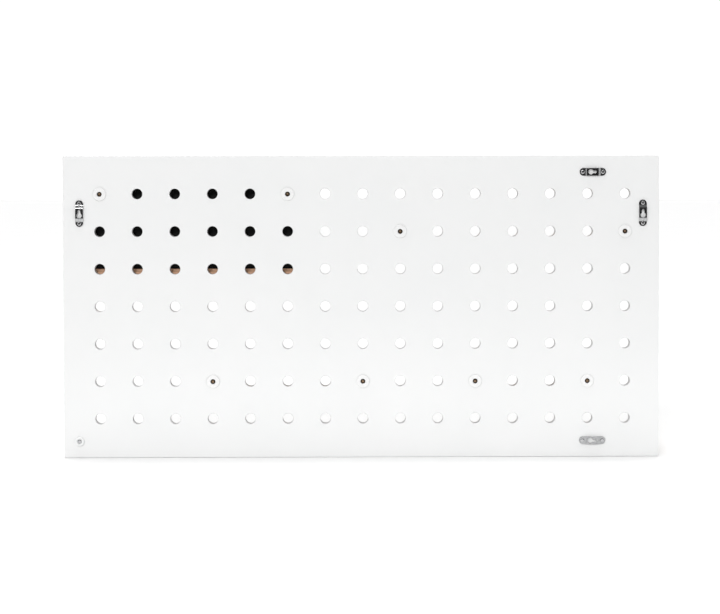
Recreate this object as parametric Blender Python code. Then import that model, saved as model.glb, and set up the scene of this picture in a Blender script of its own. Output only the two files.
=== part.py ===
"""Perforated tool board: keyhole hangers behind, pull-out dowel pegs, three shelves and a tool panel in front.

Frame, in metres: +Z up, +Y out of the board's back towards the wall, so +X is on the left of someone behind it.
The origin is on the back face, on the middle column of holes, halfway between the middle hole and the one below.
Columns and rows are counted from the top hole nearest +X.
"""

import math

import bmesh
import bpy

# Board and its grid of holes
PITCH = 0.050
COLUMNS = 15
ROWS = 7
HOLE_DIAMETER = 0.014
FIRST_COLUMN_MARGIN = 0.0485
LAST_COLUMN_MARGIN = 0.0455
TOP_MARGIN = 0.0506
BOTTOM_MARGIN = 0.0520
BOARD_THICKNESS = 0.015
EDGE_ROUNDING = 0.0008
GAP = 0.0003  # between pieces that touch

# Keyhole hangers, lengths along the strip
HANGER_LENGTH = 0.0352
HANGER_WIDTH = 0.0104
HANGER_STEEL = 0.0010
HANGER_LIFT = 0.0020
BRIDGE_LENGTH = 0.0142
BEND_LENGTH = 0.0034
KEYHOLE_LENGTH = 0.0110
KEYHOLE_DIAMETER = 0.0068
KEYHOLE_SLOT = 0.0034
KEYHOLE_SHIFT = 0.0007  # from the hanger's middle towards the round end of the keyhole
HANGER_SCREW_SPACING = 0.0268
SIDE_HANGER_INSET = 0.0218
SIDE_HANGER_DROP = 0.0259  # below the top row of holes
END_HANGER_INSET = 0.0219
END_HANGER_SHIFT = 0.0432  # inwards from the last column of holes

# Screws
SCREW_HEAD_DIAMETER = 0.0052
SCREW_HEAD_HEIGHT = 0.0013
SCREW_SHANK_DIAMETER = 0.0026
SCREW_DEPTH = 0.0100
PILOT_DIAMETER = 0.0034

# Wall bumper
BUMPER_DIAMETER = 0.0124
BUMPER_HEIGHT = HANGER_LIFT + HANGER_STEEL  # it stands level with the hangers
BUMPER_RECESS_DIAMETER = 0.0062
BUMPER_FLOOR = 0.0012
BUMPER_INSET = 0.0205
BUMPER_RISE = 0.0219

# Pegs: a flanged bush in the board, a metal pin and a dowel
PEG_PLACES = ((0, 0), (5, 0), (8, 1), (14, 1), (3, 5), (7, 5), (10, 5), (13, 5))
BUSH_BARREL_DIAMETER = 0.0124
BUSH_FLANGE_DIAMETER = 0.0176
BUSH_FLANGE_HEIGHT = 0.0015
BUSH_BORE_DIAMETER = 0.0066
BUSH_DROP = 0.0003  # the loaded bush sits low in its hole
PIN_DIAMETER = 0.0060
PIN_RECESS = 0.0012
PIN_DEPTH_IN_DOWEL = 0.020
DOWEL_DIAMETER = 0.016
DOWEL_LENGTH = 0.105

# Shelves, each on two pegs: name and the indices of its pegs
SHELVES = (("shelf_long", 2, 3), ("shelf_medium", 4, 5), ("shelf_short", 6, 7))
SHELF_OVERHANG = 0.025
SHELF_DEPTH = 0.095
SHELF_THICKNESS = 0.012
SHELF_BITE = 0.0008  # how far the dowels sit up into the shelf's grooves

# Tool panel on the first two pegs
PANEL_OVERHANG = 0.025
PANEL_RISE = 0.022  # above the top row of holes
PANEL_STEEL = 0.0015
PANEL_HOLE_DIAMETER = 0.0170
PANEL_CORNER = 0.004
RAIL_DEPTH = 0.045
RAIL_LAP = 0.012
RAIL_DROP = 0.024  # below the third row of holes
TOOL_HOLE_DIAMETER = 0.014
TOOL_HOLE_COLUMNS = range(6)
TOOL_HOLE_FROM_BOARD = 0.027
PANEL_SCREW_COLUMNS = (0.5, 2.5, 4.5)
PANEL_SCREW_DEPTH = 0.014

# Sides of round shapes
HOLE_SIDES = 12
FINE_SIDES = 16
SMALL_SIDES = 12

MIDDLE_COLUMN = (COLUMNS - 1) / 2
MIDDLE_ROW = (ROWS - 1) / 2
BOARD_FRONT = -BOARD_THICKNESS


def column_x(column):
    return (MIDDLE_COLUMN - column) * PITCH


def row_z(row):
    return (MIDDLE_ROW + 0.5 - row) * PITCH


BOARD_HIGH_X = column_x(0) + FIRST_COLUMN_MARGIN
BOARD_LOW_X = column_x(COLUMNS - 1) - LAST_COLUMN_MARGIN
BOARD_TOP = row_z(0) + TOP_MARGIN
BOARD_BOTTOM = row_z(ROWS - 1) - BOTTOM_MARGIN


# ---------------------------------------------------------------- scene and materials


def clear_scene():
    for obj in list(bpy.data.objects):
        bpy.data.objects.remove(obj)


def make_material(name, colour, roughness, metallic=0.0):
    material = bpy.data.materials.new(name)
    material.use_nodes = True
    shader = material.node_tree.nodes["Principled BSDF"]
    shader.inputs["Base Color"].default_value = (*colour, 1.0)
    shader.inputs["Roughness"].default_value = roughness
    shader.inputs["Metallic"].default_value = metallic
    return material


def make_materials():
    return {
        "white_paint": make_material("white_paint", (0.88, 0.88, 0.87), 0.45),
        "plated_steel": make_material("plated_steel", (0.42, 0.42, 0.43), 0.28, 1.0),
        "white_plastic": make_material("white_plastic", (0.90, 0.90, 0.89), 0.35),
        "clear_rubber": make_material("clear_rubber", (0.82, 0.83, 0.82), 0.30),
        "bronze": make_material("bronze", (0.30, 0.20, 0.11), 0.35, 1.0),
        "beech": make_material("beech", (0.62, 0.42, 0.24), 0.50),
        "walnut": make_material("walnut", (0.33, 0.21, 0.13), 0.50),
        "black_steel": make_material("black_steel", (0.012, 0.012, 0.013), 0.55),
    }


# ---------------------------------------------------------------- shapes


def object_from(bm, name, material=None, smooth=False):
    """The bmesh as a named object, closed and facing out."""
    bmesh.ops.recalc_face_normals(bm, faces=bm.faces)
    mesh = bpy.data.meshes.new(name)
    bm.to_mesh(mesh)
    bm.free()
    if material:
        mesh.materials.append(material)
    if smooth:
        mesh.shade_smooth()
        mesh.set_sharp_from_angle(angle=math.radians(35))
    obj = bpy.data.objects.new(name, mesh)
    bpy.context.scene.collection.objects.link(obj)
    return obj


def add_prism(bm, outline, low, high, axis="Y"):
    """A closed prism: outline in the two other axes, in X, Y, Z order, from low to high along the axis."""
    place = {
        "X": lambda a, b, t: (t, a, b),
        "Y": lambda a, b, t: (a, t, b),
        "Z": lambda a, b, t: (a, b, t),
    }[axis]
    start = [bm.verts.new(place(a, b, low)) for a, b in outline]
    end = [bm.verts.new(place(a, b, high)) for a, b in outline]
    bm.faces.new(start)
    bm.faces.new(reversed(end))
    count = len(outline)
    for i in range(count):
        bm.faces.new((start[i], end[i], end[(i + 1) % count], start[(i + 1) % count]))


def arc(centre, radius, start, end, sides):
    """Points along an arc, ends included, with sides chords in each full turn."""
    steps = max(1, round(sides * abs(end - start) / math.tau))
    angles = (start + (end - start) * i / steps for i in range(steps + 1))
    return [(centre[0] + radius * math.cos(a), centre[1] + radius * math.sin(a)) for a in angles]


def circle(centre, radius, sides):
    return arc(centre, radius, 0, math.tau, sides)[:-1]


def rectangle(low_a, high_a, low_b, high_b):
    return [(low_a, low_b), (high_a, low_b), (high_a, high_b), (low_a, high_b)]


def rounded_rectangle(low_a, high_a, low_b, high_b, radius, sides):
    outline = []
    corners = (
        (high_a - radius, high_b - radius),
        (low_a + radius, high_b - radius),
        (low_a + radius, low_b + radius),
        (high_a - radius, low_b + radius),
    )
    for quarter, corner in enumerate(corners):
        start = quarter * math.pi / 2
        outline += arc(corner, radius, start, start + math.pi / 2, sides)
    return outline


def stadium(length, width, sides):
    """A strip with round ends, long along the second axis."""
    reach = (length - width) / 2
    top = arc((0, reach), width / 2, 0, math.pi, sides)
    bottom = arc((0, -reach), width / 2, math.pi, math.tau, sides)
    return top + bottom


def turned(name, profile, sides, material, closed_loop=False):
    """A solid turned about the Y axis from (radius, y) points. An open profile starts and ends on the axis."""
    bm = bmesh.new()
    points = [bm.verts.new((radius, y, 0)) for radius, y in profile]
    edges = [bm.edges.new(pair) for pair in zip(points, points[1:])]
    if closed_loop:
        edges.append(bm.edges.new((points[-1], points[0])))
    bmesh.ops.spin(
        bm, geom=points + edges, cent=(0, 0, 0), axis=(0, 1, 0), dvec=(0, 0, 0), angle=math.tau, steps=sides,
        use_merge=True, use_duplicate=False,
    )
    bmesh.ops.remove_doubles(bm, verts=bm.verts, dist=1e-6)
    return object_from(bm, name, material, smooth=True)


def cutter_from(bm, name):
    obj = object_from(bm, name)
    obj.hide_render = True
    obj.display_type = "WIRE"
    return obj


def cut(target, cutter, operation="DIFFERENCE"):
    modifier = target.modifiers.new(cutter.name, "BOOLEAN")
    modifier.object = cutter
    modifier.operation = operation
    modifier.solver = "EXACT"


def round_edges(target, width, segments=2):
    modifier = target.modifiers.new("edge_rounding", "BEVEL")
    modifier.width = width
    modifier.segments = segments
    modifier.limit_method = "ANGLE"


def place(obj, x, z, turn=0.0, y=0.0):
    """Stands the object at a point of the board, turned about Y."""
    obj.location = (x, y, z)
    obj.rotation_euler = (0, turn, 0)


def copy_at(obj, name, x, z, turn=0.0, y=0.0):
    """Another object with the same mesh."""
    twin = bpy.data.objects.new(name, obj.data)
    bpy.context.scene.collection.objects.link(twin)
    place(twin, x, z, turn, y)
    return twin


# ---------------------------------------------------------------- places that several parts share


def hanger_places():
    """Name, x, z and turn of each hanger. The narrow end of the keyhole points up at turn 0."""
    side_z = row_z(0) - SIDE_HANGER_DROP
    end_x = column_x(COLUMNS - 1) + END_HANGER_SHIFT
    sideways = -math.pi / 2
    return (
        ("hanger_right", BOARD_HIGH_X - SIDE_HANGER_INSET, side_z, 0.0),
        ("hanger_left", BOARD_LOW_X + SIDE_HANGER_INSET, side_z, 0.0),
        ("hanger_top", end_x, BOARD_TOP - END_HANGER_INSET, sideways),
        ("hanger_bottom", end_x, BOARD_BOTTOM + END_HANGER_INSET, sideways),
    )


def hanger_screw_places():
    """Name, x and z of the two screws in each hanger."""
    reach = HANGER_SCREW_SPACING / 2
    for name, x, z, turn in hanger_places():
        for letter, side in (("a", 1), ("b", -1)):
            yield f"{name}_screw_{letter}", x + side * reach * math.sin(turn), z + side * reach * math.cos(turn)


def bumper_place():
    return BOARD_HIGH_X - BUMPER_INSET, BOARD_BOTTOM + BUMPER_RISE


def peg_place(index):
    column, row = PEG_PLACES[index]
    return column_x(column), row_z(row) - BUSH_DROP


# ---------------------------------------------------------------- parts


def make_board(material):
    bm = bmesh.new()
    add_prism(bm, rectangle(BOARD_LOW_X, BOARD_HIGH_X, BOARD_BOTTOM, BOARD_TOP), BOARD_FRONT, 0)
    board = object_from(bm, "board", material)
    round_edges(board, EDGE_ROUNDING)

    holes = bmesh.new()
    for column in range(COLUMNS):
        for row in range(ROWS):
            outline = circle((column_x(column), row_z(row)), HOLE_DIAMETER / 2, HOLE_SIDES)
            add_prism(holes, outline, BOARD_FRONT - 0.005, 0.005)
    cut(board, cutter_from(holes, "board_hole_cutter"))

    pilots = bmesh.new()
    screws = [(x, z) for _, x, z in hanger_screw_places()]
    for centre in [*screws, bumper_place()]:
        add_prism(pilots, circle(centre, PILOT_DIAMETER / 2, SMALL_SIDES), -SCREW_DEPTH - 0.001, 0.005)
    cut(board, cutter_from(pilots, "board_pilot_cutter"))


def hanger_blank():
    """The bent strip, as wide as the hanger, before its ends are rounded."""
    bridge = BRIDGE_LENGTH / 2
    tab = bridge + BEND_LENGTH
    end = HANGER_LENGTH / 2 + 0.001
    inner = [(-end, 0), (-tab, 0), (-bridge, HANGER_LIFT), (bridge, HANGER_LIFT), (tab, 0), (end, 0)]
    outer = [(z, y + HANGER_STEEL) for z, y in reversed(inner)]
    outline = [(GAP + y, z) for z, y in inner + outer]
    bm = bmesh.new()
    add_prism(bm, outline, -HANGER_WIDTH / 2 - 0.001, HANGER_WIDTH / 2 + 0.001, axis="X")
    return object_from(bm, "hanger_blank")


def keyhole_outline():
    """A round hole below that narrows to a slot above."""
    hole_radius = KEYHOLE_DIAMETER / 2
    slot_radius = KEYHOLE_SLOT / 2
    hole = (0, hole_radius - KEYHOLE_LENGTH / 2 - KEYHOLE_SHIFT)
    slot_end = (0, KEYHOLE_LENGTH / 2 - slot_radius - KEYHOLE_SHIFT)
    meet = math.asin(slot_radius / hole_radius)
    low = arc(hole, hole_radius, math.pi / 2 + meet, math.pi / 2 - meet + math.tau, FINE_SIDES)
    return low + arc(slot_end, slot_radius, 0, math.pi, FINE_SIDES)


def make_hangers(material):
    blank = hanger_blank()
    rounded = bmesh.new()
    add_prism(rounded, stadium(HANGER_LENGTH, HANGER_WIDTH, FINE_SIDES), -0.01, 0.01)
    openings = bmesh.new()
    add_prism(openings, keyhole_outline(), -0.01, 0.01)
    for z in (-HANGER_SCREW_SPACING / 2, HANGER_SCREW_SPACING / 2):
        add_prism(openings, circle((0, z), PILOT_DIAMETER / 2, SMALL_SIDES), -0.01, 0.01)
    cut(blank, cutter_from(rounded, "hanger_outline_cutter"), "INTERSECT")
    cut(blank, cutter_from(openings, "hanger_opening_cutter"))

    finished = bpy.data.meshes.new_from_object(blank.evaluated_get(bpy.context.evaluated_depsgraph_get()))
    finished.name = "keyhole_hanger"
    finished.materials.clear()
    finished.materials.append(material)
    blank.hide_render = True
    blank.display_type = "WIRE"
    for name, x, z, turn in hanger_places():
        hanger = bpy.data.objects.new(name, finished)
        bpy.context.scene.collection.objects.link(hanger)
        place(hanger, x, z, turn)


def pan_head_screw(name, head_diameter, material):
    """A screw along -Y with the underside of its domed head at y = 0."""
    head = head_diameter / 2
    shank = SCREW_SHANK_DIAMETER / 2
    profile = [
        (0, SCREW_HEAD_HEIGHT),
        (0.55 * head, 0.92 * SCREW_HEAD_HEIGHT),
        (0.88 * head, 0.62 * SCREW_HEAD_HEIGHT),
        (head, 0.25 * SCREW_HEAD_HEIGHT),
        (head, 0),
        (shank, 0),
        (shank, -SCREW_DEPTH + 2 * shank),
        (0, -SCREW_DEPTH),
    ]
    return turned(name, profile, SMALL_SIDES, material)


def make_hanger_screws(material):
    seat = GAP + HANGER_STEEL + GAP
    first = None
    for name, x, z in hanger_screw_places():
        if first:
            copy_at(first, name, x, z, y=seat)
        else:
            first = pan_head_screw(name, SCREW_HEAD_DIAMETER, material)
            place(first, x, z, y=seat)


def make_bumper(rubber, steel):
    outer = BUMPER_DIAMETER / 2
    recess = BUMPER_RECESS_DIAMETER / 2
    hole = PILOT_DIAMETER / 2
    top = GAP + BUMPER_HEIGHT
    profile = [
        (hole, GAP),
        (outer, GAP),
        (outer, top - 0.0008),
        (outer - 0.0008, top),
        (recess, top),
        (recess, GAP + BUMPER_FLOOR),
        (hole, GAP + BUMPER_FLOOR),
    ]
    x, z = bumper_place()
    place(turned("wall_bumper", profile, FINE_SIDES, rubber, closed_loop=True), x, z)
    screw = pan_head_screw("bumper_screw", 0.8 * BUMPER_RECESS_DIAMETER, steel)
    place(screw, x, z, y=GAP + BUMPER_FLOOR + GAP)


def make_bush(name, material):
    """A white bush pushed in from behind: its flange is on the back face, its barrel lines the hole."""
    bore = BUSH_BORE_DIAMETER / 2
    barrel = BUSH_BARREL_DIAMETER / 2
    flange = BUSH_FLANGE_DIAMETER / 2
    face = GAP + BUSH_FLANGE_HEIGHT
    rounding = 0.0005
    profile = [
        (bore, BOARD_FRONT + GAP),
        (barrel, BOARD_FRONT + GAP),
        (barrel, GAP),
        (flange, GAP),
        (flange, face - rounding),
        (flange - rounding, face),
        (bore, face),
    ]
    return turned(name, profile, FINE_SIDES, material, closed_loop=True)


def make_pin(name, material):
    """The pin that a dowel carries: its back end shows in the bush, its front end is set in the dowel."""
    radius = PIN_DIAMETER / 2
    back = GAP + BUSH_FLANGE_HEIGHT - PIN_RECESS
    front = BOARD_FRONT - GAP - PIN_DEPTH_IN_DOWEL
    rounding = 0.0006
    profile = [(0, back), (radius - rounding, back), (radius, back - rounding), (radius, front), (0, front)]
    return turned(name, profile, SMALL_SIDES, material)


def make_dowel(name, material):
    radius = DOWEL_DIAMETER / 2
    socket = PIN_DIAMETER / 2 + GAP
    back = BOARD_FRONT - GAP
    tip = back - DOWEL_LENGTH
    socket_end = back - PIN_DEPTH_IN_DOWEL - GAP
    rounding = 0.003
    nose = [
        (radius - rounding + rounding * math.cos(angle), tip + rounding - rounding * math.sin(angle))
        for angle in (i * math.pi / 6 for i in range(4))
    ]
    profile = [(0, socket_end), (socket, socket_end), (socket, back), (radius - 0.0006, back)]
    profile += [(radius, back - 0.0006)] + nose + [(0, tip)]
    return turned(name, profile, FINE_SIDES, material)


def make_pegs(materials):
    """Eight pegs. The dowel and pin of each hang on an empty at its hole, which is where it slides out."""
    bush = pin = dowel = None
    for index in range(len(PEG_PLACES)):
        x, z = peg_place(index)
        number = index + 1
        if index:
            copy_at(bush, f"peg_bush_{number}", x, z)
            pieces = [copy_at(pin, f"peg_pin_{number}", 0, 0), copy_at(dowel, f"peg_dowel_{number}", 0, 0)]
        else:
            bush = make_bush("peg_bush_1", materials["white_plastic"])
            place(bush, x, z)
            pin = make_pin("peg_pin_1", materials["bronze"])
            dowel = make_dowel("peg_dowel_1", materials["beech"])
            pieces = [pin, dowel]
        slide = bpy.data.objects.new(f"peg_{number}_slide", None)
        bpy.context.scene.collection.objects.link(slide)
        slide.location = (x, 0, z)
        for piece in pieces:
            piece.parent = slide


def make_shelf(name, first, second, material):
    """A plank across two pegs, with a half-round groove for each dowel."""
    places = [peg_place(first), peg_place(second)]
    back = BOARD_FRONT - GAP
    low = places[0][1] + DOWEL_DIAMETER / 2 - SHELF_BITE
    ends = sorted(x for x, _ in places)
    outline = rectangle(ends[0] - SHELF_OVERHANG, ends[1] + SHELF_OVERHANG, low, low + SHELF_THICKNESS)
    bm = bmesh.new()
    add_prism(bm, outline, back - SHELF_DEPTH, back)
    shelf = object_from(bm, name, material)
    round_edges(shelf, 0.0015)

    grooves = bmesh.new()
    for place_of_peg in places:
        outline = circle(place_of_peg, DOWEL_DIAMETER / 2 + GAP, FINE_SIDES * 2)
        add_prism(grooves, outline, back - SHELF_DEPTH - 0.005, back + 0.005)
    cut(shelf, cutter_from(grooves, f"{name}_groove_cutter"))


def panel_screw_places():
    return [(column_x(column), row_z(2) + RAIL_LAP / 2) for column in PANEL_SCREW_COLUMNS]


def make_panel(materials):
    """A black steel plate on two pegs, screwed at its foot into a wooden rail with holes for tools."""
    pegs = [peg_place(0), peg_place(1)]
    low_x = min(x for x, _ in pegs) - PANEL_OVERHANG
    high_x = max(x for x, _ in pegs) + PANEL_OVERHANG
    back = BOARD_FRONT - GAP
    front = back - PANEL_STEEL
    foot = row_z(2)

    bm = bmesh.new()
    outline = rounded_rectangle(low_x, high_x, foot, row_z(0) + PANEL_RISE, PANEL_CORNER, SMALL_SIDES)
    add_prism(bm, outline, front, back)
    plate = object_from(bm, "panel_plate", materials["black_steel"])
    holes = bmesh.new()
    for centre in pegs:
        add_prism(holes, circle(centre, PANEL_HOLE_DIAMETER / 2, FINE_SIDES * 2), front - 0.002, back + 0.002)
    cut(plate, cutter_from(holes, "panel_hole_cutter"))

    rail_back = bmesh.new()
    top = foot + RAIL_LAP
    shoulder = front - GAP
    profile = [
        (back, foot - RAIL_DROP),
        (back, foot - GAP),
        (shoulder, foot - GAP),
        (shoulder, top),
        (back - RAIL_DEPTH, top),
        (back - RAIL_DEPTH, foot - RAIL_DROP),
    ]
    add_prism(rail_back, profile, low_x, high_x, axis="X")
    rail = object_from(rail_back, "panel_rail", materials["walnut"])
    round_edges(rail, 0.0012)

    tool_holes = bmesh.new()
    for column in TOOL_HOLE_COLUMNS:
        centre = (column_x(column), BOARD_FRONT - TOOL_HOLE_FROM_BOARD)
        outline = circle(centre, TOOL_HOLE_DIAMETER / 2, FINE_SIDES)
        add_prism(tool_holes, outline, foot - RAIL_DROP - 0.005, top + 0.005, axis="Z")
    cut(rail, cutter_from(tool_holes, "tool_hole_cutter"))
    make_panel_screws(plate, rail, materials["plated_steel"], back)


def make_panel_screws(plate, rail, material, back):
    """Flat-head screws, flush with the plate's back, whose sinks are cut in the plate and the rail."""
    head = SCREW_HEAD_DIAMETER / 2
    shank = SCREW_SHANK_DIAMETER / 2
    throat = back - PANEL_STEEL
    tip = back - PANEL_SCREW_DEPTH
    profile = [(0, back), (head, back), (shank, throat), (shank, tip + shank), (0, tip)]
    sink = [(0, back + 0.001), (head + 2 * GAP, back + 0.001), (head + 2 * GAP, back), (shank + GAP, throat)]
    sink += [(shank + GAP, tip - GAP), (0, tip - GAP)]
    first = None
    for number, (x, z) in enumerate(panel_screw_places(), 1):
        if first:
            copy_at(first, f"panel_screw_{number}", x, z)
        else:
            first = turned(f"panel_screw_{number}", profile, SMALL_SIDES, material)
            place(first, x, z)
        cutter = turned(f"panel_sink_cutter_{number}", sink, SMALL_SIDES, None)
        cutter.hide_render = True
        cutter.display_type = "WIRE"
        place(cutter, x, z)
        cut(plate, cutter)
        cut(rail, cutter)


def main():
    clear_scene()
    materials = make_materials()
    make_board(materials["white_paint"])
    make_hangers(materials["plated_steel"])
    make_hanger_screws(materials["plated_steel"])
    make_bumper(materials["clear_rubber"], materials["plated_steel"])
    make_pegs(materials)
    for name, first, second in SHELVES:
        make_shelf(name, first, second, materials["beech"])
    make_panel(materials)


main()
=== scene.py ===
"""Looks of the perforated tool board, seen from behind: meshes, materials, light and camera.

Frame, in metres: +Z up, +Y out of the board's back, so +X is on the left of the picture.
"""

import math

import bmesh
import bpy
from mathutils import Matrix, Vector


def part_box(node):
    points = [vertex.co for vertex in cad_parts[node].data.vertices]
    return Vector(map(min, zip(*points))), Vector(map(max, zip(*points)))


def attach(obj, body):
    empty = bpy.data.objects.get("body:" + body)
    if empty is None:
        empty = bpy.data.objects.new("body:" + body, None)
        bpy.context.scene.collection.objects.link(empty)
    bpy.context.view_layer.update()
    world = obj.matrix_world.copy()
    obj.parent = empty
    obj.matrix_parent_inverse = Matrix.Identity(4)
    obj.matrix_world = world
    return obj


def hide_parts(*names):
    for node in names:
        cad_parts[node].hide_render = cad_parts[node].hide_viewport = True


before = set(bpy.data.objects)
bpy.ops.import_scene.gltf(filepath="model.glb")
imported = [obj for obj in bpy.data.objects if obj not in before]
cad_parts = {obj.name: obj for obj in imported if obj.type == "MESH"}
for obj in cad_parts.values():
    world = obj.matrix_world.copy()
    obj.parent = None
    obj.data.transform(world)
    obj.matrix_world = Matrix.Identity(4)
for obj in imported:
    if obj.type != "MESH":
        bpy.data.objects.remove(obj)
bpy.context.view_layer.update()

# Board and its grid of holes
PITCH = 0.050
COLUMNS = 15
ROWS = 7
HOLE_DIAMETER = 0.014
HOLE_RIM = 0.0005
# A darker grey for the holes' walls: painted shade.
HOLE_WALL_SHADE = (0.54, 0.54, 0.54)
HOLE_SIDES = 40  # a multiple of 8, so that the cell's corners are points too
BOARD_CORNER = 0.0014
BOARD_EDGE = 0.0008
GAP = 0.0003  # between pieces that touch
OVERSHOOT = 0.01  # of a cutter past what it goes through

# Hangers, lengths along the strip
HANGER_STEEL = 0.0010
HANGER_LIFT = 0.0020
BRIDGE_LENGTH = 0.0142
BEND_LENGTH = 0.0034
BEND_RADIUS = 0.0056
KEYHOLE_LENGTH = 0.0110
KEYHOLE_DIAMETER = 0.0068
KEYHOLE_SLOT = 0.0034
KEYHOLE_SHIFT = 0.0007
HANGER_EDGE = 0.00018

# Screws
SCREW_HEAD_HEIGHT = 0.0013
SCREW_SHANK_DIAMETER = 0.0026
SCREW_HOLE_DIAMETER = 0.0034
RECESS_WIDTH = 0.00075
FLUSH_HEAD_DIAMETER = 0.0052
FLUSH_HEAD_CLEARANCE = 0.0006
FLUSH_RECESS_DEPTH = 0.0008
FLUSH_HOLE_DEPTH = 0.0145

# Wall bumper
BUMPER_RECESS_DIAMETER = 0.0062
BUMPER_HOLE_DIAMETER = 0.0034
BUMPER_FLOOR = 0.0012

# Pegs
BUSH_BARREL_DIAMETER = 0.0124
BUSH_BORE_DIAMETER = 0.0066
PIN_BOSS_DIAMETER = 0.0034
PIN_BOSS_HEIGHT = 0.0016
PIN_CHAMFER = 0.0005
PIN_CLEARANCE = 0.0002
DOWEL_NOSE = 0.0035

# Shelves and tool panel
GROOVE_DIAMETER = 0.0166
SHELF_EDGE = 0.0018
PANEL_HOLE_DIAMETER = 0.0170
PLATE_EDGE = 0.0003
PLATE_CORNER = 0.004
RAIL_EDGE = 0.0008
TOOL_HOLES = 6
TOOL_HOLE_DIAMETER = 0.014
TOOL_HOLE_FROM_BACK = 0.0267

# Studio
STUDIO_STRENGTH = 1.055
DARK_SIDE = 0.25  # where the white side is 1
FLOOR_GAP = 0.0002
FOOT_LIGHT_HEIGHT = 0.05
CARD_HALF_WIDTH = 6.5
CARD_HEIGHT = 4.8
CARD_NEAR, CARD_FAR = 0.85, 6.0

board_low, board_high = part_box("board")
PEGS = range(1, 9)
HANGERS = ("hanger_right", "hanger_left", "hanger_top", "hanger_bottom")


def column_x(column):
    return ((COLUMNS - 1) / 2 - column) * PITCH


def row_z(row):
    return (ROWS / 2 - row) * PITCH


def middle(node):
    low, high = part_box(node)
    return (low + high) / 2


# ---------------------------------------------------------------- node trees


def new_material(name, colour, roughness, **sockets):
    """A material, its node tree and its shader. Sockets are named with _ for a space."""
    material = bpy.data.materials.new(name)
    material.use_nodes = True
    tree = material.node_tree
    shader = tree.nodes["Principled BSDF"]
    shader.inputs["Base Color"].default_value = (*colour, 1)
    shader.inputs["Roughness"].default_value = roughness
    for socket, value in sockets.items():
        shader.inputs[socket.replace("_", " ")].default_value = value
    return material, tree, shader


def add_node(tree, kind, settings=None, **inputs):
    """A node with its settings, whose inputs are values or the sockets they are linked from."""
    made = tree.nodes.new(kind)
    for key, value in (settings or {}).items():
        setattr(made, key, value)
    for key, value in inputs.items():
        socket = made.inputs[key.replace("_", " ")]
        if isinstance(value, bpy.types.NodeSocket):
            tree.links.new(value, socket)
        else:
            socket.default_value = value
    return made


def vector_math(tree, operation, *operands):
    """A vector operation on operands that are vectors or the sockets they are linked from."""
    made = add_node(tree, "ShaderNodeVectorMath", {"operation": operation})
    for socket, value in zip(made.inputs, operands):
        if isinstance(value, bpy.types.NodeSocket):
            tree.links.new(value, socket)
        else:
            socket.default_value = value
    return made.outputs[0]


def position(tree, scale=(1, 1, 1), shift=(0, 0, 0)):
    """The piece's own coordinates in metres, shifted and then scaled."""
    own = add_node(tree, "ShaderNodeTexCoord").outputs["Object"]
    return vector_math(tree, "MULTIPLY", vector_math(tree, "ADD", own, shift), scale)


def noise(tree, vector, scale=1.0, detail=2.0, roughness=0.5):
    made = add_node(
        tree, "ShaderNodeTexNoise", Vector=vector, Scale=scale, Detail=detail, Roughness=roughness
    )
    return made.outputs["Fac"]


def ramp(tree, factor, stops):
    """Colours or grey levels along a factor, from (position, colour) pairs."""
    made = add_node(tree, "ShaderNodeValToRGB", Fac=factor)
    elements = made.color_ramp.elements
    while len(elements) < len(stops):
        elements.new(0.5)
    for element, (place, colour) in zip(elements, stops):
        element.position = place
        element.color = (*colour, 1) if isinstance(colour, tuple) else (colour, colour, colour, 1)
    return made.outputs["Color"]


def blend(tree, first, second, factor, mode="MIX"):
    made = add_node(tree, "ShaderNodeMix", {"data_type": "RGBA", "blend_type": mode})
    for socket, value in ((made.inputs[0], factor), (made.inputs[6], first), (made.inputs[7], second)):
        if isinstance(value, bpy.types.NodeSocket):
            tree.links.new(value, socket)
        else:
            socket.default_value = value
    return made.outputs[2]


def bump(tree, shader, height, distance, strength=1.0):
    made = add_node(tree, "ShaderNodeBump", Height=height, Distance=distance, Strength=strength)
    tree.links.new(made.outputs["Normal"], shader.inputs["Normal"])


# ---------------------------------------------------------------- materials


def painted_hole_shade_mask(tree):
    """1 on the walls of the holes and 0 elsewhere, from the distance to the nearest hole's axis: the mask
    for the painted shade there.
    """
    low = (column_x(COLUMNS - 1) - PITCH / 2, 0, row_z(ROWS - 1) - PITCH / 2)
    high = (column_x(0) + PITCH / 2, 0, row_z(0) + PITCH / 2)
    inside = vector_math(tree, "MINIMUM", vector_math(tree, "MAXIMUM", position(tree), low), high)
    grid = vector_math(tree, "SUBTRACT", inside, low)
    cells = vector_math(tree, "WRAP", grid, (PITCH, 1, PITCH), (0, -1, 0))
    offset = vector_math(tree, "SUBTRACT", cells, (PITCH / 2, 0, PITCH / 2))
    distance = add_node(tree, "ShaderNodeVectorMath", {"operation": "LENGTH"})
    tree.links.new(offset, distance.inputs[0])
    edge = add_node(tree, "ShaderNodeMapRange", Value=distance.outputs["Value"])
    edge.inputs["From Min"].default_value = HOLE_DIAMETER / 2 + 0.0001
    edge.inputs["From Max"].default_value = HOLE_DIAMETER / 2 + HOLE_RIM
    edge.inputs["To Min"].default_value = 1
    edge.inputs["To Max"].default_value = 0
    return edge.outputs["Result"]


def board_paint():
    """Smooth white lacquer with the faint stipple of a roller, and a darker grey painted on the holes' walls
    as painted shade.
    """
    material, tree, shader = new_material("board_paint", (0.71, 0.71, 0.71), 0.42)
    drift = noise(tree, position(tree), 9, 3)
    face = ramp(tree, drift, [(0.3, (0.698, 0.703, 0.702)), (0.7, (0.712, 0.714, 0.713))])
    # Painted shade: the holes' walls take the darker grey.
    colour = blend(tree, face, (*HOLE_WALL_SHADE, 1), painted_hole_shade_mask(tree))
    tree.links.new(colour, shader.inputs["Base Color"])
    stipple = noise(tree, position(tree), 620, 3, 0.6)
    tree.links.new(ramp(tree, stipple, [(0.3, 0.38), (0.7, 0.47)]), shader.inputs["Roughness"])
    bump(tree, shader, stipple, 0.00004, 0.5)
    return material


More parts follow.
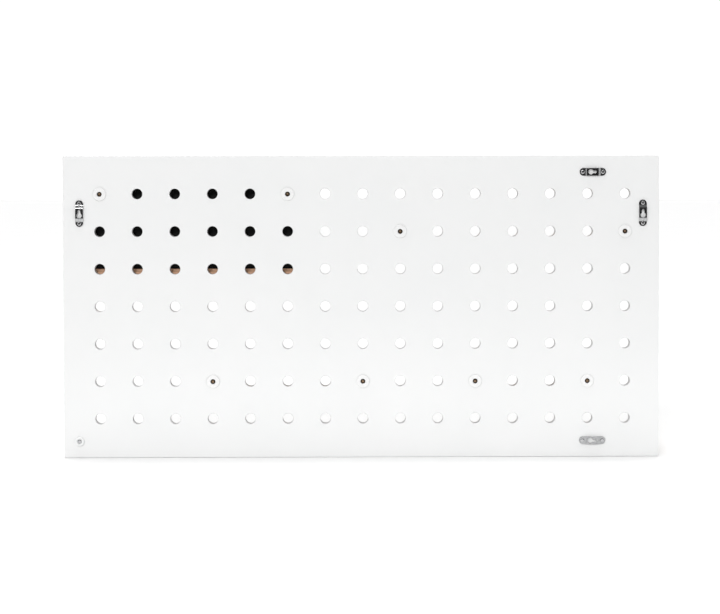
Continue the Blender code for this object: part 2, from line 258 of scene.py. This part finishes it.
def plated_steel(name, colour, roughness, along):
    """Zinc-plated pressed steel: rolled lines along the strip and a cloudy plating."""
    material, tree, shader = new_material(name, colour, roughness, Metallic=1.0)
    stretch = tuple(0.06 if axis == along else 1 for axis in "XYZ")
    lines = noise(tree, position(tree, stretch), 3200, 3, 0.6)
    cloud = noise(tree, position(tree), 420, 4, 0.65)
    dull = tuple(c * 0.72 for c in colour)
    tree.links.new(ramp(tree, cloud, [(0.38, dull), (0.62, colour)]), shader.inputs["Base Color"])
    tree.links.new(ramp(tree, cloud, [(0.3, roughness + 0.05), (0.7, roughness - 0.03)]),
                   shader.inputs["Roughness"])
    bump(tree, shader, lines, 0.00002, 0.3)
    return material


def bush_plastic():
    """White moulded plastic with a soft mould texture."""
    material, tree, shader = new_material("bush_plastic", (0.712, 0.712, 0.71), 0.4)
    grain = noise(tree, position(tree), 1500, 2)
    tree.links.new(ramp(tree, grain, [(0.3, (0.705, 0.705, 0.703)), (0.7, (0.72, 0.72, 0.718))]),
                   shader.inputs["Base Color"])
    tree.links.new(ramp(tree, grain, [(0.3, 0.36), (0.7, 0.45)]), shader.inputs["Roughness"])
    bump(tree, shader, grain, 0.00002, 0.4)
    return material


def bumper_rubber():
    """Clear soft rubber, slightly cloudy inside."""
    material, tree, shader = new_material(
        "bumper_rubber", (0.84, 0.845, 0.845), 0.4, Transmission_Weight=0.15, IOR=1.44
    )
    cloud = noise(tree, position(tree), 500, 3)
    tree.links.new(ramp(tree, cloud, [(0.35, (0.82, 0.825, 0.825)), (0.65, (0.85, 0.855, 0.855))]),
                   shader.inputs["Base Color"])
    tree.links.new(ramp(tree, cloud, [(0.3, 0.36), (0.7, 0.46)]), shader.inputs["Roughness"])
    bump(tree, shader, cloud, 0.00001, 0.3)
    return material


def bronze_pin():
    """Bronze, brighter on the boss at its back end and nearly black in the step round it: painted shade in
    the recess.
    """
    material, tree, shader = new_material("bronze_pin", (0.32, 0.2, 0.12), 0.38, Metallic=0.85)
    mottle = noise(tree, position(tree), 1800, 4, 0.7)
    bright = ramp(tree, mottle, [(0.36, (0.13, 0.085, 0.05)), (0.64, (0.37, 0.25, 0.16))])
    dark = ramp(tree, mottle, [(0.36, (0.022, 0.016, 0.012)), (0.64, (0.06, 0.042, 0.030))])
    # Painted shade: darker the deeper the surface sits below the pin's back end.
    out = add_node(tree, "ShaderNodeSeparateXYZ", Vector=position(tree)).outputs["Y"]
    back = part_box("peg_pin_1")[1].y
    painted_recess_shade = add_node(tree, "ShaderNodeMapRange", Value=out)
    painted_recess_shade.inputs["From Min"].default_value = back - 0.0011
    painted_recess_shade.inputs["From Max"].default_value = back - 0.0005
    tree.links.new(blend(tree, dark, bright, painted_recess_shade.outputs["Result"]), shader.inputs["Base Color"])
    tree.links.new(ramp(tree, mottle, [(0.3, 0.5), (0.7, 0.3)]), shader.inputs["Roughness"])
    bump(tree, shader, mottle, 0.00004, 0.5)
    return material


def powder_coat():
    """Black powder coating on steel."""
    material, tree, shader = new_material(
        "panel_coating", (0.005, 0.005, 0.005), 0.6, Specular_IOR_Level=0.15
    )
    grain = noise(tree, position(tree), 1400, 3, 0.6)
    tree.links.new(ramp(tree, grain, [(0.3, (0.003, 0.003, 0.003)), (0.7, (0.007, 0.007, 0.007))]),
                   shader.inputs["Base Color"])
    tree.links.new(ramp(tree, grain, [(0.3, 0.48), (0.7, 0.62)]), shader.inputs["Roughness"])
    bump(tree, shader, grain, 0.00006, 0.8)
    return material


def wood(name, pale, dark, along, pith, ring=0.0030, coat=0.12):
    """Solid timber: growth rings about a pith line, fibres, and short dark flecks along one axis."""
    material, tree, shader = new_material(name, pale, 0.48, Coat_Weight=coat, Coat_Roughness=0.3)

    def stretched(by):
        return tuple(by if axis == along else 1 for axis in "XYZ")

    turns = math.tau / 20 / ring
    wave = add_node(
        tree, "ShaderNodeTexWave",
        {"wave_type": "RINGS", "rings_direction": along, "wave_profile": "SIN"},
        Vector=position(tree, stretched(0.10), pith), Scale=turns, Distortion=9.0, Detail=2.0,
        Detail_Scale=0.10, Detail_Roughness=0.55,
    )
    rings = wave.outputs["Fac"]
    tone = noise(tree, position(tree, stretched(0.12), pith), 28, 3)
    fibre = noise(tree, position(tree, stretched(0.022)), 1500, 4, 0.62)
    fleck = noise(tree, position(tree, stretched(0.07)), 1900, 1)

    middle_tone = tuple((a + b) / 2 for a, b in zip(pale, dark))
    grown = ramp(tree, rings, [(0.0, pale), (0.62, middle_tone), (1.0, dark)])
    wide = ramp(tree, tone, [(0.3, 0.80), (0.7, 1.0)])
    fine = ramp(tree, fibre, [(0.3, 0.72), (0.6, 1.0)])
    pores = ramp(tree, fleck, [(0.60, 1.0), (0.68, 0.62)])
    colour = blend(tree, grown, wide, 0.8, "MULTIPLY")
    colour = blend(tree, colour, fine, 0.65, "MULTIPLY")
    colour = blend(tree, colour, pores, 0.8, "MULTIPLY")
    tree.links.new(colour, shader.inputs["Base Color"])
    tree.links.new(ramp(tree, fibre, [(0.3, 0.58), (0.7, 0.42)]), shader.inputs["Roughness"])
    bump(tree, shader, blend(tree, fine, pores, 0.5, "MULTIPLY"), 0.00006, 0.6)
    return material


# ---------------------------------------------------------------- shapes


def rounded(corners, closed=True, steps=5):
    """An outline through (a, b) corners, where a corner given as (a, b, radius) is rounded by an arc."""
    points = []
    count = len(corners)
    for i, corner in enumerate(corners):
        here = Vector(corner[:2])
        if len(corner) == 2 or (not closed and i in (0, count - 1)):
            points.append(tuple(here))
            continue
        back = Vector(corners[i - 1][:2]) - here
        on = Vector(corners[(i + 1) % count][:2]) - here
        half = back.angle(on) / 2
        reach = min(corner[2] / math.tan(half), 0.49 * back.length, 0.49 * on.length)
        radius = reach * math.tan(half)
        back.normalize()
        on.normalize()
        centre = here + (back + on).normalized() * radius / math.sin(half)
        start = (here + back * reach - centre).normalized()
        end = (here + on * reach - centre).normalized()
        points += [tuple(centre + radius * start.slerp(end, k / steps)) for k in range(steps + 1)]
    return points


def arc(centre, radius, start, end, steps):
    angles = (start + (end - start) * k / steps for k in range(steps + 1))
    return [(centre[0] + radius * math.cos(a), centre[1] + radius * math.sin(a)) for a in angles]


def circle(centre, radius, sides):
    return arc(centre, radius, 0, math.tau, sides)[:-1]


def object_from(bm, name):
    """The bmesh as an object with its doubles merged, its faces pointing out and smooth shading."""
    bmesh.ops.remove_doubles(bm, verts=bm.verts, dist=2e-7)
    bmesh.ops.recalc_face_normals(bm, faces=bm.faces)
    mesh = bpy.data.meshes.new(name)
    bm.to_mesh(mesh)
    bm.free()
    mesh.shade_smooth()
    obj = bpy.data.objects.new(name, mesh)
    bpy.context.scene.collection.objects.link(obj)
    return obj


def turned(name, profile, sides=48, centre=(0, 0), closed=False):
    """A solid turned about Y from (radius, y) points. Without closed, both ends are on the axis."""
    bm = bmesh.new()
    rings = []
    for radius, y in profile:
        if radius < 1e-9:
            rings.append([bm.verts.new((centre[0], y, centre[1]))])
        else:
            rings.append([bm.verts.new((a, y, b)) for a, b in circle(centre, radius, sides)])
    pairs = list(zip(rings, rings[1:]))
    if closed:
        pairs.append((rings[-1], rings[0]))
    for first, second in pairs:
        for k in range(sides):
            m = (k + 1) % sides
            if len(first) == 1:
                bm.faces.new((first[0], second[k], second[m]))
            elif len(second) == 1:
                bm.faces.new((first[k], second[0], first[m]))
            else:
                bm.faces.new((first[k], second[k], second[m], first[m]))
    return object_from(bm, name)


def prism(name, outline, low, high, axis="Y"):
    """A closed prism: outline in the two other axes, in X, Y, Z order, from low to high along the axis."""
    place = {
        "X": lambda a, b, t: (t, a, b),
        "Y": lambda a, b, t: (a, t, b),
        "Z": lambda a, b, t: (a, b, t),
    }[axis]
    bm = bmesh.new()
    ends = [[bm.verts.new(place(a, b, t)) for a, b in outline] for t in (low, high)]
    for end in ends:
        bm.faces.new(end)
    count = len(outline)
    for k in range(count):
        m = (k + 1) % count
        bm.faces.new((ends[0][k], ends[0][m], ends[1][m], ends[1][k]))
    return object_from(bm, name)


def bake(obj):
    """Makes the modifiers part of the mesh."""
    made = bpy.data.meshes.new_from_object(obj.evaluated_get(bpy.context.evaluated_depsgraph_get()))
    made.name = obj.name
    obj.modifiers.clear()
    obj.data = made
    return obj


def carve(obj, cutters, operation="DIFFERENCE"):
    """Cuts each cutter out of the object, or keeps only what they share, and removes the cutters."""
    for cutter in cutters:
        modifier = obj.modifiers.new("carve", "BOOLEAN")
        modifier.object = cutter
        modifier.operation = operation
        modifier.solver = "EXACT"
    bake(obj)
    for cutter in cutters:
        bpy.data.objects.remove(cutter)
    return obj


def soften(obj, width, segments=3, angle=40):
    """Rounds the edges sharper than the angle and keeps the flats flat in the shading."""
    bevel = obj.modifiers.new("rounding", "BEVEL")
    bevel.width = width
    bevel.segments = segments
    bevel.limit_method = "ANGLE"
    bevel.angle_limit = math.radians(angle)
    bevel.miter_outer = "MITER_ARC"
    return flat_shading_on_flats(obj)


def flat_shading_on_flats(obj):
    obj.data.shade_smooth()
    obj.data.set_sharp_from_angle(angle=math.radians(50))
    weighted = obj.modifiers.new("normals", "WEIGHTED_NORMAL")
    weighted.keep_sharp = True
    return bake(obj)


def fit(obj, material, body, nodes):
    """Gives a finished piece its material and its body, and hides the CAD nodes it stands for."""
    obj.data.materials.clear()
    obj.data.materials.append(material)
    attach(obj, body)
    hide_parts(*nodes)
    return obj


# ---------------------------------------------------------------- board


def board_outline(inset):
    """The board's outline, inset, with a point at each line between two cells and an arc at each corner."""
    xs = [column_x(c) - PITCH / 2 for c in reversed(range(COLUMNS))] + [column_x(0) + PITCH / 2]
    zs = [row_z(r) - PITCH / 2 for r in reversed(range(ROWS))] + [row_z(0) + PITCH / 2]
    left, right = board_low.x + inset, board_high.x - inset
    bottom, top = board_low.z + inset, board_high.z - inset
    radius = BOARD_CORNER - inset
    low_x, high_x = board_low.x + BOARD_CORNER, board_high.x - BOARD_CORNER
    low_z, high_z = board_low.z + BOARD_CORNER, board_high.z - BOARD_CORNER
    quarter = math.pi / 2
    sides = [
        [(x, bottom) for x in xs],
        arc((high_x, low_z), radius, -quarter, 0, 4),
        [(right, z) for z in zs],
        arc((high_x, high_z), radius, 0, quarter, 4),
        [(x, top) for x in reversed(xs)],
        arc((low_x, high_z), radius, quarter, 2 * quarter, 4),
        [(left, z) for z in reversed(zs)],
        arc((low_x, low_z), radius, 2 * quarter, 3 * quarter, 4),
    ]
    return sides


def cell_rim(column, row):
    """Points round a cell's border, in the directions of the hole's points."""
    x, z = column_x(column), row_z(row)
    points = []
    for k in range(HOLE_SIDES):
        c = math.cos(math.tau * k / HOLE_SIDES)
        s = math.sin(math.tau * k / HOLE_SIDES)
        reach = PITCH / 2 / max(abs(c), abs(s))
        points.append((x + reach * c, z + reach * s))
    return points


def add_strip(bm, first, second):
    """Faces between two closed rings of points."""
    count = len(first)
    for k in range(count):
        m = (k + 1) % count
        bm.faces.new([bm.verts.new(p) for p in (first[k], first[m], second[m], second[k])])


def add_board_face(bm, y):
    """One broad face: a ring of faces round each hole, and the margins."""
    radius = HOLE_DIAMETER / 2 + HOLE_RIM
    for column in range(COLUMNS):
        for row in range(ROWS):
            hole = circle((column_x(column), row_z(row)), radius, HOLE_SIDES)
            add_strip(bm, [(a, y, b) for a, b in hole], [(a, y, b) for a, b in cell_rim(column, row)])

    def face(points):
        bm.faces.new([bm.verts.new((a, y, b)) for a, b in points])

    eighth = HOLE_SIDES // 8

    def quarter_of(rim, middle_eighth):
        """The rim's points on one side of its cell, whose middle is so many eighths round from the right."""
        turn = middle_eighth * eighth
        return [rim[(turn + i) % HOLE_SIDES] for i in range(eighth, -eighth - 1, -1)]

    bottom, corner_1, right, corner_2, top, corner_3, left, corner_4 = board_outline(BOARD_EDGE)
    for k in range(COLUMNS):
        low = cell_rim(COLUMNS - 1 - k, ROWS - 1)
        face([bottom[k], bottom[k + 1]] + quarter_of(low, 6))
        high = cell_rim(k, 0)
        face([top[k], top[k + 1]] + quarter_of(high, 2))
    for k in range(ROWS):
        near = cell_rim(0, ROWS - 1 - k)
        face([right[k], right[k + 1]] + quarter_of(near, 0))
        far = cell_rim(COLUMNS - 1, k)
        face([left[k], left[k + 1]] + quarter_of(far, 4))
    low_right = cell_rim(0, ROWS - 1)[7 * eighth]
    high_right = cell_rim(0, 0)[eighth]
    high_left = cell_rim(COLUMNS - 1, 0)[3 * eighth]
    low_left = cell_rim(COLUMNS - 1, ROWS - 1)[5 * eighth]
    face([bottom[-1]] + corner_1 + [right[0], low_right])
    face([right[-1]] + corner_2 + [top[0], high_right])
    face([top[-1]] + corner_3 + [left[0], high_left])
    face([left[-1]] + corner_4 + [bottom[0], low_left])


def edge_profile(size, steps=3):
    """(inset, y) across the board's edge or a hole's rim, from the back face to the front face."""
    back, front = board_high.y, board_low.y
    turns = [math.pi / 2 * k / steps for k in range(steps + 1)]
    near = [(size - size * math.sin(t), back - size + size * math.cos(t)) for t in turns]
    far = [(size - size * math.sin(t), front + size - size * math.cos(t)) for t in reversed(turns)]
    return near + far


def make_board():
    bm = bmesh.new()
    add_board_face(bm, board_high.y)
    add_board_face(bm, board_low.y)

    def outline_at(inset, y):
        return [(a, y, b) for side in board_outline(inset) for a, b in side]

    outer = [outline_at(inset, y) for inset, y in edge_profile(BOARD_EDGE)]
    for first, second in zip(outer, outer[1:]):
        add_strip(bm, first, second)
    for column in range(COLUMNS):
        for row in range(ROWS):
            centre = (column_x(column), row_z(row))
            rings = []
            for inset, y in edge_profile(HOLE_RIM, 2):
                ring = circle(centre, HOLE_DIAMETER / 2 + inset, HOLE_SIDES)
                rings.append([(a, y, b) for a, b in ring])
            for first, second in zip(rings, rings[1:]):
                add_strip(bm, first, second)
    board = flat_shading_on_flats(object_from(bm, "painted_board"))
    fit(board, board_paint(), "board", ["board"])


# ---------------------------------------------------------------- hangers, screws and bumper


def hanger_mesh():
    """A pressed strip, long along Z, with its keyhole's narrow end up and its underside at y = 0."""
    low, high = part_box("hanger_right")
    length, width = high.z - low.z, high.x - low.x
    bridge = BRIDGE_LENGTH / 2
    tab = bridge + BEND_LENGTH
    end = length / 2 + 0.002
    half = HANGER_STEEL / 2
    line = rounded(
        [(-end, half), (-tab, half, BEND_RADIUS), (-bridge, half + HANGER_LIFT, BEND_RADIUS),
         (bridge, half + HANGER_LIFT, BEND_RADIUS), (tab, half, BEND_RADIUS), (end, half)],
        closed=False, steps=8,
    )
    upper, lower = [], []
    for i, (z, y) in enumerate(line):
        along = Vector(line[min(i + 1, len(line) - 1)]) - Vector(line[max(i - 1, 0)])
        across = Vector((-along.y, along.x)).normalized() * half
        upper.append((y + across.y, z + across.x))
        lower.append((y - across.y, z - across.x))
    strip = prism("keyhole_hanger", upper + lower[::-1], -width / 2 - 0.002, width / 2 + 0.002, axis="X")

    reach = (length - width) / 2
    stadium = arc((0, reach), width / 2, 0, math.pi, 24) + arc((0, -reach), width / 2, math.pi, math.tau, 24)
    carve(strip, [prism("outline", stadium, -OVERSHOOT, OVERSHOOT)], "INTERSECT")

    hole_radius, slot_radius = KEYHOLE_DIAMETER / 2, KEYHOLE_SLOT / 2
    hole = (0, hole_radius - KEYHOLE_LENGTH / 2 - KEYHOLE_SHIFT)
    slot_end = (0, KEYHOLE_LENGTH / 2 - slot_radius - KEYHOLE_SHIFT)
    meet = math.asin(0.92 * slot_radius / hole_radius)
    keyhole = arc(hole, hole_radius, math.pi / 2 + meet, math.pi / 2 - meet + math.tau, 32)
    keyhole += arc(slot_end, slot_radius, 0, math.pi, 14)
    screw = middle("hanger_right_screw_a").z - middle("hanger_right").z
    cutters = [prism("keyhole", keyhole, -OVERSHOOT, OVERSHOOT)]
    for z in (-screw, screw):
        ring = circle((0, z), SCREW_HOLE_DIAMETER / 2, 24)
        cutters.append(prism("screw_hole", ring, -OVERSHOOT, OVERSHOOT))
    carve(strip, cutters)
    soften(strip, HANGER_EDGE, 2)
    mesh = strip.data
    bpy.data.objects.remove(strip)
    return mesh


def recess_bars(centre, arm, low, high):
    """Two cutters for a cross recess, from low to high along Y."""
    x, z = centre
    bars = []
    for wide, tall in ((arm, RECESS_WIDTH / 2), (RECESS_WIDTH / 2, arm)):
        bar = [(x - wide, z - tall), (x + wide, z - tall), (x + wide, z + tall), (x - wide, z + tall)]
        bars.append(prism("recess", bar, low, high))
    return bars


def pan_head_mesh(diameter, depth):
    """A pan head with a cross recess on a plain shank. The head's underside is at y = 0."""
    radius = diameter / 2
    height, shank = SCREW_HEAD_HEIGHT, SCREW_SHANK_DIAMETER
    profile = rounded(
        [(0, height), (0.62 * radius, height * 0.96, 0.5 * height), (radius, height * 0.45, 0.4 * height),
         (radius, 0), (shank / 2, 0), (shank / 2, 0.4 * shank - depth), (0, -depth)],
        closed=False,
    )
    head = turned("pan_head_screw", profile, 40)
    carve(head, recess_bars((0, 0), 0.62 * radius, 0.35 * height, 2 * height))
    flat_shading_on_flats(head)
    mesh = head.data
    bpy.data.objects.remove(head)
    return mesh


def copy_of(mesh, name, location, turn=0.0):
    obj = bpy.data.objects.new(name, mesh.copy())
    obj.data.name = name
    bpy.context.scene.collection.objects.link(obj)
    obj.data.transform(Matrix.Translation(location) @ Matrix.Rotation(turn, 4, "Y"))
    return obj


def make_hangers():
    mesh = hanger_mesh()
    steel_up = plated_steel("hanger_steel_upright", (0.45, 0.455, 0.46), 0.15, "Z")
    steel_across = plated_steel("hanger_steel_across", (0.45, 0.455, 0.46), 0.15, "X")
    for name in HANGERS:
        low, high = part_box(name)
        upright = high.z - low.z > high.x - low.x
        centre = (low + high) / 2
        place = (centre.x, low.y, centre.z)
        hanger = copy_of(mesh, f"{name}_strip", place, 0.0 if upright else -math.pi / 2)
        fit(hanger, steel_up if upright else steel_across, "board", [name])


def make_screws():
    """The nine pan-head screws. Each cross recess stands at its own angle."""
    steel = plated_steel("screw_steel", (0.62, 0.62, 0.63), 0.22, "Y")
    names = [f"{hanger}_screw_{letter}" for hanger in HANGERS for letter in "ab"] + ["bumper_screw"]
    for number, name in enumerate(names):
        low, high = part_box(name)
        centre = (low + high) / 2
        seat = high.y - SCREW_HEAD_HEIGHT
        mesh = pan_head_mesh(high.x - low.x, seat - low.y)
        screw = copy_of(mesh, f"{name}_head", (centre.x, seat, centre.z), 0.4 + 1.1 * number)
        fit(screw, steel, "board", [name])


def make_bumper():
    low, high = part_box("wall_bumper")
    outer = (high.x - low.x) / 2
    recess, hole = BUMPER_RECESS_DIAMETER / 2, BUMPER_HOLE_DIAMETER / 2
    floor = low.y + BUMPER_FLOOR
    profile = rounded(
        [(hole, low.y), (outer, low.y, 0.0002), (outer, high.y, 0.0014), (recess, high.y, 0.0006),
         (recess, floor, 0.0003), (hole, floor)],
    )
    centre = (low + high) / 2
    bumper = flat_shading_on_flats(turned("bumper_ring", profile, 64, (centre.x, centre.z), closed=True))
    fit(bumper, bumper_rubber(), "board", ["wall_bumper"])


# ---------------------------------------------------------------- pegs


def make_bush(number, material):
    low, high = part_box(f"peg_bush_{number}")
    centre = (low + high) / 2
    flange = (high.x - low.x) / 2
    bore, barrel = BUSH_BORE_DIAMETER / 2, BUSH_BARREL_DIAMETER / 2
    under = board_high.y + GAP
    profile = rounded(
        [(bore, low.y, 0.0003), (barrel, low.y, 0.0005), (barrel, under), (flange, under, 0.0002),
         (flange, high.y, 0.0008), (bore, high.y, 0.0005)],
    )
    bush = turned(f"bush_{number}", profile, 56, (centre.x, centre.z), closed=True)
    fit(flat_shading_on_flats(bush), material, "board", [f"peg_bush_{number}"])


def make_pin(number, material):
    """The pin's back end is turned down to a small boss inside a step, which the material paints dark as
    painted shade.
    """
    low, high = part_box(f"peg_pin_{number}")
    centre = (low + high) / 2
    radius = (high.x - low.x) / 2
    boss = PIN_BOSS_DIAMETER / 2
    step = high.y - PIN_BOSS_HEIGHT
    profile = rounded(
        [(0, low.y), (radius - PIN_CHAMFER, low.y), (radius, low.y + PIN_CHAMFER), (radius, step, 0.0004),
         (boss, step, 0.0002), (boss, high.y, 0.0004), (0, high.y)],
        closed=False,
    )
    pin = flat_shading_on_flats(turned(f"pin_{number}", profile, 32, (centre.x, centre.z)))
    fit(pin, material, f"peg_{number}", [f"peg_pin_{number}"])


def make_dowel(number, material):
    low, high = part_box(f"peg_dowel_{number}")
    pin_low, pin_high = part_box(f"peg_pin_{number}")
    centre = (low + high) / 2
    radius = (high.x - low.x) / 2
    socket = (pin_high.x - pin_low.x) / 2 + PIN_CLEARANCE
    bottom = pin_low.y - GAP
    profile = rounded(
        [(0, bottom), (socket, bottom), (socket, high.y, 0.0003), (radius, high.y, 0.0008),
         (radius, low.y, DOWEL_NOSE), (0, low.y)],
        closed=False, steps=8,
    )
    dowel = turned(f"dowel_{number}", profile, 48, (centre.x, centre.z))
    fit(flat_shading_on_flats(dowel), material, f"peg_{number}", [f"peg_dowel_{number}"])


def make_pegs():
    plastic = bush_plastic()
    bronze = bronze_pin()
    timber = wood("dowel_timber", (0.66, 0.44, 0.26), (0.48, 0.29, 0.15), "Y", (0.03, 0, 0.07))
    for number in PEGS:
        make_bush(number, plastic)
        make_pin(number, bronze)
        make_dowel(number, timber)


# ---------------------------------------------------------------- shelves and tool panel


def make_shelf(name, pegs, material):
    """A plank with a half-round groove over each of its two dowels."""
    low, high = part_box(name)
    outline = [(low.x, low.z), (high.x, low.z), (high.x, high.z), (low.x, high.z)]
    plank = prism(f"{name}_plank", outline, low.y, high.y)
    grooves = []
    for peg in pegs:
        centre = middle(f"peg_dowel_{peg}")
        ring = circle((centre.x, centre.z), GROOVE_DIAMETER / 2, 64)
        grooves.append(prism("groove", ring, low.y - OVERSHOOT, high.y + OVERSHOOT))
    carve(plank, grooves)
    soften(plank, SHELF_EDGE, 4)
    fit(plank, material, name, [name])


def make_shelves():
    timber = wood("shelf_timber", (0.66, 0.44, 0.26), (0.47, 0.28, 0.145), "X", (0, 0.05, 0.19), 0.0042)
    for name, pegs in (("shelf_long", (3, 4)), ("shelf_medium", (5, 6)), ("shelf_short", (7, 8))):
        make_shelf(name, pegs, timber)


def countersinks(screws, back, head_depth):
    """Cutters for flat screw heads that are flush with the plate's back."""
    head = FLUSH_HEAD_DIAMETER / 2 + FLUSH_HEAD_CLEARANCE
    shank = SCREW_SHANK_DIAMETER / 2 + GAP
    above, end = back + 0.001, back - FLUSH_HOLE_DEPTH
    profile = [(0, above), (head, above), (head, back), (shank, back - head_depth), (shank, end), (0, end)]
    return [turned("sink", profile, 32, (screw.x, screw.z)) for screw in screws]


def make_panel():
    """The coated plate with its two peg openings, its rail and its screws."""
    low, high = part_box("panel_plate")
    corners = [(low.x, low.z), (high.x, low.z), (high.x, high.z), (low.x, high.z)]
    outline = rounded([(a, b, PLATE_CORNER) for a, b in corners], steps=8)
    plate = prism("coated_plate", outline, low.y, high.y)
    cutters = []
    for peg in (1, 2):
        centre = middle(f"peg_dowel_{peg}")
        ring = circle((centre.x, centre.z), PANEL_HOLE_DIAMETER / 2, 64)
        cutters.append(prism("peg_opening", ring, low.y - OVERSHOOT, high.y + OVERSHOOT))
    screws = [middle(f"panel_screw_{k}") for k in (1, 2, 3)]
    carve(plate, cutters + countersinks(screws, high.y, high.y - low.y))
    soften(plate, PLATE_EDGE, 2)
    fit(plate, powder_coat(), "tool_panel", ["panel_plate"])

    make_rail(low, high, screws)
    make_panel_screws(high.y, high.y - low.y)


def make_rail(plate_low, plate_high, screws):
    """A timber strip that is rebated for the plate, with a row of tool holes right through it."""
    low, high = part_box("panel_rail")
    shoulder = plate_low.y - GAP
    step = plate_low.z - GAP
    profile = [(high.y, low.z), (high.y, step), (shoulder, step), (shoulder, high.z), (low.y, high.z),
               (low.y, low.z)]
    rail = prism("tool_rail", profile, low.x, high.x, axis="X")
    cutters = []
    for column in range(TOOL_HOLES):
        centre = (column_x(column), high.y - TOOL_HOLE_FROM_BACK)
        ring = circle(centre, TOOL_HOLE_DIAMETER / 2, 48)
        cutters.append(prism("tool_hole", ring, low.z - OVERSHOOT, high.z + OVERSHOOT, axis="Z"))
    carve(rail, cutters + countersinks(screws, plate_high.y, plate_high.y - plate_low.y))
    soften(rail, RAIL_EDGE, 3)
    # Painted light: the rail's tones are set lighter and more orange than the other timber's, standing in
    # for light on it where it shows through the board's holes.
    timber = wood("rail_timber_lightened", (0.86, 0.52, 0.33), (0.60, 0.33, 0.19), "X", (0.02, 0.09, 0.05), 0.0036)
    fit(rail, timber, "tool_panel", ["panel_rail"])


def make_panel_screws(back, head_depth):
    steel = plated_steel("panel_screw_steel", (0.60, 0.60, 0.61), 0.25, "Y")
    radius, shank = FLUSH_HEAD_DIAMETER / 2, SCREW_SHANK_DIAMETER / 2
    for k in (1, 2, 3):
        low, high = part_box(f"panel_screw_{k}")
        centre = (low + high) / 2
        neck, tip = back - head_depth, low.y + shank
        profile = [(0, high.y), (radius, high.y), (shank, neck), (shank, tip), (0, low.y)]
        screw = turned(f"flat_head_{k}", profile, 32, (centre.x, centre.z))
        floor = high.y - FLUSH_RECESS_DEPTH
        carve(screw, recess_bars((centre.x, centre.z), 0.55 * radius, floor, high.y + 0.001))
        fit(flat_shading_on_flats(screw), steel, "tool_panel", [f"panel_screw_{k}"])


# ---------------------------------------------------------------- floor, light and camera


def make_floor():
    bm = bmesh.new()
    corners = ((-30, -30), (30, -30), (30, 30), (-30, 30))
    bm.faces.new([bm.verts.new((x, y, board_low.z - FLOOR_GAP)) for x, y in corners])
    floor = object_from(bm, "floor")
    material, tree, shader = new_material("floor_paper", (0.80, 0.80, 0.80), 0.7)
    paper = noise(tree, position(tree), 4, 2)
    tree.links.new(ramp(tree, paper, [(0.3, (0.795, 0.795, 0.795)), (0.7, (0.805, 0.805, 0.805))]),
                   shader.inputs["Base Color"])
    floor.data.materials.append(material)


def aim(obj, place, target):
    """Stands a light at a place, looking at a target."""
    obj.location = place
    obj.rotation_euler = (Vector(place) - Vector(target)).to_track_quat("Z", "Y").to_euler()


def add_light(kind, name, energy, place, target, size=None, height=None, angle=None):
    data = bpy.data.lights.new(name, kind)
    data.energy = energy
    if size:
        data.size = size
    if height:
        data.shape = "RECTANGLE"
        data.size_y = height
    if angle:
        data.angle = math.radians(angle)
    light = bpy.data.objects.new(name, data)
    light.visible_camera = False
    bpy.context.scene.collection.objects.link(light)
    aim(light, place, target)


def make_dark_card(name, corners):
    """Black cloth that only reflections see, so that the steel shows the room's dark side."""
    bm = bmesh.new()
    bm.faces.new([bm.verts.new(corner) for corner in corners])
    card = object_from(bm, name)
    material, tree, shader = new_material(f"{name}_cloth", (0.01, 0.01, 0.01), 0.9)
    cloth = noise(tree, position(tree), 300, 2)
    tree.links.new(ramp(tree, cloth, [(0.3, (0.008, 0.008, 0.008)), (0.7, (0.012, 0.012, 0.012))]),
                   shader.inputs["Base Color"])
    card.data.materials.append(material)
    card.visible_camera = False
    card.visible_diffuse = False
    card.visible_shadow = False


def make_world():
    """A white studio, darker above the horizon on the side that the board's back faces."""
    world = bpy.data.worlds.new("studio")
    bpy.context.scene.world = world
    world.use_nodes = True
    tree = world.node_tree
    towards = add_node(tree, "ShaderNodeTexCoord").outputs["Generated"]
    direction = add_node(tree, "ShaderNodeSeparateXYZ", Vector=towards)
    behind = ramp(tree, direction.outputs["Y"], [(0.05, 0.0), (0.30, 1.0)])
    above = ramp(tree, direction.outputs["Z"], [(0.16, 0.0), (0.30, 1.0)])
    dark = blend(tree, behind, above, 1.0, "MULTIPLY")
    shade = ramp(tree, dark, [(0.0, 1.0), (1.0, DARK_SIDE)])
    tree.links.new(shade, tree.nodes["Background"].inputs["Color"])
    tree.nodes["Background"].inputs["Strength"].default_value = STUDIO_STRENGTH


def make_light():
    """A high key on the side that the board's back faces, light from above, and a weak strip at its foot."""
    make_world()
    origin = (0, 0, 0)
    add_light("AREA", "key", 346, (1.56, 7.72, 4.35), origin, size=1.6)
    add_light("SUN", "overhead", 0.62, (0.15, 0.33, 2.0), origin, angle=20)
    add_light("SUN", "back", 0.8, (0.05, -0.30, 1.8), origin, angle=22)
    floor = board_low.z
    foot = floor + FOOT_LIGHT_HEIGHT
    add_light("AREA", "foot", 0.19, (-0.05, 0.20, foot), (-0.05, 0, foot), size=1.1, height=0.06)
    side, top = CARD_HALF_WIDTH, floor + CARD_HEIGHT
    upright = [(-side, floor), (side, floor), (side, top), (-side, top)]
    make_dark_card("flag", [(x, CARD_FAR, z) for x, z in upright])
    flat = [(-side, CARD_NEAR), (side, CARD_NEAR), (side, CARD_FAR), (-side, CARD_FAR)]
    make_dark_card("far_floor", [(x, y, floor + 0.01) for x, y in flat])


def make_camera():
    data = bpy.data.cameras.new("camera")
    data.sensor_width = 36
    data.lens = 108.87
    data.shift_x = -0.025
    data.shift_y = -0.0694
    data.clip_end = 200
    camera = bpy.data.objects.new("camera", data)
    bpy.context.scene.collection.objects.link(camera)
    camera.location = (0.02, 2.9, 0.20)
    camera.rotation_euler = (math.radians(90 - 2.160), math.radians(0.07), math.radians(179.20))
    bpy.context.scene.camera = camera


def main():
    bpy.context.scene.view_settings.view_transform = "Standard"
    make_camera()
    make_light()
    make_floor()
    make_board()
    make_hangers()
    make_screws()
    make_bumper()
    make_pegs()
    make_shelves()
    make_panel()


main()
